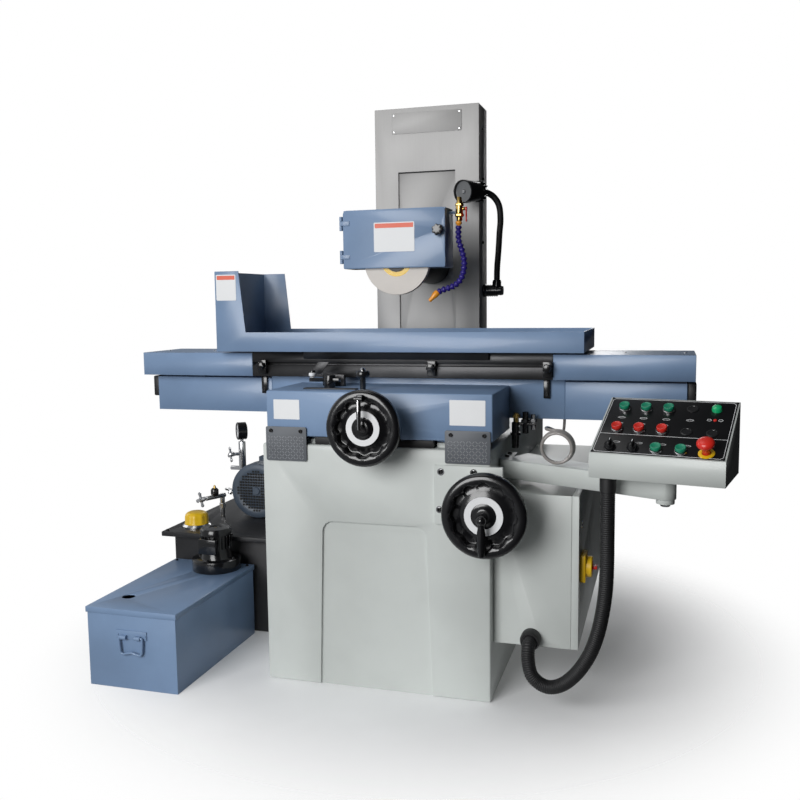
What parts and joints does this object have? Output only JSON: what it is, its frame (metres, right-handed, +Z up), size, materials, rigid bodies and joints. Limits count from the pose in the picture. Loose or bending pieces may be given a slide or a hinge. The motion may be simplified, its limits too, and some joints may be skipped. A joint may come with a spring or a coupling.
{
  "type": "surface grinder",
  "caption": "Hydraulic surface grinder: column, guarded wheel, sliding table in a splash tray, saddle, two handwheels, swivelling panel, coolant tank and oil unit.",
  "frame": {"origin": "centre of the base casting's underside, on its cross web", "axes": "+X to the operator's right along the table's travel, +Y away from the operator along the cross feed, +Z up along the wheelhead's travel"},
  "size_m": [1.7527, 1.3379, 1.696],
  "materials": {
    "blue_paint": "satin steel-blue machine enamel over sheet steel and castings",
    "cream_paint": "semi-gloss light grey-green enamel",
    "cast_iron": "dark machined and ground iron with an oil film",
    "stainless": "brushed stainless sheet, slightly blotched",
    "bright_steel": "ground and plated steel",
    "black_plastic": "glossy black phenolic and moulded plastic",
    "black_rubber": "matt black corrugated hose",
    "charcoal_paint": "fine-textured dark grey enamel",
    "motor_paint": "dark blue-grey motor enamel",
    "abrasive": "off-white vitrified abrasive, open and grainy",
    "red_plastic": "glossy red plastic",
    "green_plastic": "glossy green plastic",
    "yellow_plastic": "glossy yellow plastic",
    "brass": "turned brass",
    "hose_blue": "deep blue jointed hose plastic with an orange nozzle",
    "clear_hose": "smoky clear tubing"
  },
  "bodies": {
    "root": {"base_casting": "cream_paint", "column_casting": "cream_paint", "column_front_cover": "stainless", "electrical_cabinet": "cream_paint", "coolant_tank": "blue_paint", "coolant_tank_lid": "blue_paint", "coolant_pump": "black_plastic", "hydraulic_tank": "charcoal_paint", "hydraulic_tank_cover": "charcoal_paint", "hydraulic_motor": "motor_paint", "hydraulic_manifold": "bright_steel", "control_arm": "cream_paint", "conduit": "black_rubber", "lamp_bracket": "black_plastic"},
    "cabinet_door": {"cabinet_door": "cream_paint"},
    "main_switch": {"main_switch_knob": "red_plastic"},
    "tank_handle": {"tank_handle": "blue_paint"},
    "filler_cap": {"filler_cap": "yellow_plastic"},
    "work_lamp": {"work_lamp": "black_plastic"},
    "control_panel": {"control_panel": "cream_paint"},
    "start_button_1": {"start_button_1": "green_plastic"},
    "start_button_2": {"start_button_2": "green_plastic"},
    "start_button_3": {"start_button_3": "green_plastic"},
    "stop_button_1": {"stop_button_1": "red_plastic"},
    "stop_button_2": {"stop_button_2": "red_plastic"},
    "stop_button_3": {"stop_button_3": "red_plastic"},
    "jog_button_left": {"jog_button_left": "green_plastic"},
    "jog_button_right": {"jog_button_right": "green_plastic"},
    "emergency_stop": {"emergency_stop": "red_plastic"},
    "selector_left": {"selector_left": "black_plastic"},
    "selector_right": {"selector_right": "black_plastic"},
    "saddle": {"saddle_casting": "blue_paint", "saddle_wing_left": "blue_paint", "saddle_wing_right": "blue_paint", "drain_hose_lead": "clear_hose", "drain_hose_coil": "clear_hose"},
    "cross_handwheel": {"cross_handwheel": "black_plastic"},
    "cross_handle": {"cross_handwheel_handle": "black_plastic"},
    "reversing_lever": {"reversing_lever": "black_plastic"},
    "speed_knob": {"table_speed_knob": "black_plastic"},
    "table": {"table_casting": "cast_iron", "table_cover_left": "blue_paint", "table_cover_right": "blue_paint", "splash_tray": "blue_paint"},
    "trip_dog_left": {"trip_dog_left": "black_plastic"},
    "trip_dog_centre": {"trip_dog_centre": "black_plastic"},
    "trip_dog_right": {"trip_dog_right": "black_plastic"},
    "wheelhead": {"wheelhead_housing": "cast_iron", "spindle_motor": "motor_paint", "wheel_guard": "blue_paint", "way_shield": "stainless", "coolant_valve": "brass"},
    "spindle": {"spindle_shaft": "bright_steel", "grinding_wheel": "abrasive"},
    "guard_door": {"guard_door": "blue_paint"},
    "guard_knob": {"guard_door_knob": "black_plastic"},
    "valve_lever": {"valve_lever": "red_plastic"},
    "coolant_hose": {"coolant_hose": "hose_blue"},
    "vertical_handwheel": {"vertical_handwheel": "black_plastic"},
    "vertical_handle": {"vertical_handwheel_handle": "black_plastic"}
  },
  "joints": [
    {"name": "saddle_cross_slide", "type": "slide", "parent": "root", "child": "saddle", "axis": [0, 1, 0], "range_m": [-0.13, 0.065]},
    {"name": "cross_handwheel_turn", "type": "hinge", "parent": "saddle", "child": "cross_handwheel", "pos_m": [0.008, -0.591, 0.737], "axis": [0, 1, 0], "range_deg": [-9360, 4680]},
    {"name": "cross_handle_fold", "type": "hinge", "parent": "cross_handwheel", "child": "cross_handle", "pos_m": [0.008, -0.627, 0.816], "axis": [-1, 0, 0], "range_deg": [0, 90]},
    {"name": "table_slide", "type": "slide", "parent": "saddle", "child": "table", "axis": [1, 0, 0], "range_m": [-0.25, 0.25]},
    {"name": "trip_dog_left_slide", "type": "slide", "parent": "table", "child": "trip_dog_left", "axis": [1, 0, 0], "range_m": [-0.012, 0.28]},
    {"name": "trip_dog_centre_slide", "type": "slide", "parent": "table", "child": "trip_dog_centre", "axis": [1, 0, 0], "range_m": [-0.15, 0.138]},
    {"name": "trip_dog_right_slide", "type": "slide", "parent": "table", "child": "trip_dog_right", "axis": [1, 0, 0], "range_m": [-0.2, 0]},
    {"name": "reversing_lever_swing", "type": "hinge", "parent": "saddle", "child": "reversing_lever", "pos_m": [-0.16, -0.388, 0.82], "axis": [0, 0, 1], "range_deg": [-20, 20]},
    {"name": "table_speed_turn", "type": "hinge", "parent": "saddle", "child": "speed_knob", "pos_m": [-0.04, -0.45, 0.82], "axis": [0, 0, 1], "range_deg": [0, 270]},
    {"name": "wheelhead_slide", "type": "slide", "parent": "root", "child": "wheelhead", "axis": [0, 0, 1], "range_m": [-0.095, 0.2]},
    {"name": "vertical_handwheel_turn", "type": "hinge", "parent": "root", "child": "vertical_handwheel", "pos_m": [0.322, -0.601, 0.529], "axis": [0, 1, 0], "range_deg": [-28800, 13680]},
    {"name": "vertical_handle_fold", "type": "hinge", "parent": "vertical_handwheel", "child": "vertical_handle", "pos_m": [0.322, -0.637, 0.4415], "axis": [1, 0, 0], "range_deg": [0, 90]},
    {"name": "spindle_turn", "type": "hinge", "parent": "wheelhead", "child": "spindle", "pos_m": [-0.02, -0.188, 1.177], "axis": [0, 1, 0], "continuous": true},
    {"name": "guard_door_hinge", "type": "hinge", "parent": "wheelhead", "child": "guard_door", "pos_m": [-0.186, -0.198, 1.155], "axis": [0, 0, -1], "range_deg": [0, 95]},
    {"name": "guard_knob_turn", "type": "hinge", "parent": "guard_door", "child": "guard_knob", "pos_m": [0.112, -0.202, 1.26], "axis": [0, -1, 0], "range_deg": [0, 720]},
    {"name": "coolant_valve_turn", "type": "hinge", "parent": "wheelhead", "child": "valve_lever", "pos_m": [0.179, -0.15, 1.322], "axis": [-1, 0, 0], "range_deg": [0, 90]},
    {"name": "coolant_hose_swivel", "type": "hinge", "parent": "wheelhead", "child": "coolant_hose", "pos_m": [0.159, -0.15, 1.2876], "axis": [0, 0, 1], "range_deg": [0, 60]},
    {"name": "lamp_swivel", "type": "hinge", "parent": "root", "child": "work_lamp", "pos_m": [0.189, 0.29, 1.1124], "axis": [0, 0, 1], "range_deg": [0, 60]},
    {"name": "panel_swivel", "type": "hinge", "parent": "root", "child": "control_panel", "pos_m": [0.75, -0.562, 0.638], "axis": [0, 0, -1], "range_deg": [-35, 35], "deforming": ["conduit"]},
    {"name": "start_button_1_press", "type": "slide", "parent": "control_panel", "child": "start_button_1", "axis": [0.0987, 0.4766, -0.8735], "range_m": [0, 0.004], "stiffness_N_per_m": 500, "springref_m": -0.002},
    {"name": "start_button_2_press", "type": "slide", "parent": "control_panel", "child": "start_button_2", "axis": [0.0987, 0.4766, -0.8735], "range_m": [0, 0.004], "stiffness_N_per_m": 500, "springref_m": -0.002},
    {"name": "start_button_3_press", "type": "slide", "parent": "control_panel", "child": "start_button_3", "axis": [0.0987, 0.4766, -0.8735], "range_m": [0, 0.004], "stiffness_N_per_m": 500, "springref_m": -0.002},
    {"name": "stop_button_1_press", "type": "slide", "parent": "control_panel", "child": "stop_button_1", "axis": [0.0987, 0.4766, -0.8735], "range_m": [0, 0.004], "stiffness_N_per_m": 500, "springref_m": -0.002},
    {"name": "stop_button_2_press", "type": "slide", "parent": "control_panel", "child": "stop_button_2", "axis": [0.0987, 0.4766, -0.8735], "range_m": [0, 0.004], "stiffness_N_per_m": 500, "springref_m": -0.002},
    {"name": "stop_button_3_press", "type": "slide", "parent": "control_panel", "child": "stop_button_3", "axis": [0.0987, 0.4766, -0.8735], "range_m": [0, 0.004], "stiffness_N_per_m": 500, "springref_m": -0.002},
    {"name": "jog_button_left_press", "type": "slide", "parent": "control_panel", "child": "jog_button_left", "axis": [0.0987, 0.4766, -0.8735], "range_m": [0, 0.004], "stiffness_N_per_m": 500, "springref_m": -0.002},
    {"name": "jog_button_right_press", "type": "slide", "parent": "control_panel", "child": "jog_button_right", "axis": [0.0987, 0.4766, -0.8735], "range_m": [0, 0.004], "stiffness_N_per_m": 500, "springref_m": -0.002},
    {"name": "emergency_stop_press", "type": "slide", "parent": "control_panel", "child": "emergency_stop", "axis": [0.0987, 0.4766, -0.8735], "range_m": [0, 0.005]},
    {"name": "selector_left_turn", "type": "hinge", "parent": "control_panel", "child": "selector_left", "pos_m": [0.62232, -0.5916, 0.70868], "axis": [-0.0987, -0.4766, 0.8735], "range_deg": [-45, 45]},
    {"name": "selector_right_turn", "type": "hinge", "parent": "control_panel", "child": "selector_right", "pos_m": [0.67422, -0.60234, 0.70868], "axis": [-0.0987, -0.4766, 0.8735], "range_deg": [-45, 45]},
    {"name": "cabinet_door_hinge", "type": "hinge", "parent": "root", "child": "cabinet_door", "pos_m": [0.5225, 0.35, 0.155], "axis": [0, 0, 1], "range_deg": [0, 110]},
    {"name": "main_switch_turn", "type": "hinge", "parent": "cabinet_door", "child": "main_switch", "pos_m": [0.541, -0.405, 0.362], "axis": [1, 0, 0], "range_deg": [0, 90]},
    {"name": "tank_handle_lift", "type": "hinge", "parent": "root", "child": "tank_handle", "pos_m": [-0.647, -0.678, 0.15], "axis": [-1, 0, 0], "range_deg": [0, 90]},
    {"name": "filler_cap_turn", "type": "hinge", "parent": "root", "child": "filler_cap", "pos_m": [-0.757, -0.105, 0.316], "axis": [0, 0, 1], "range_deg": [0, 360]}
  ],
  "couplings": [
    {"joint": "saddle_cross_slide", "follows": "cross_handwheel_turn", "m_per_rad": 0.00079577},
    {"joint": "wheelhead_slide", "follows": "vertical_handwheel_turn", "m_per_rad": -0.00039788}
  ]
}
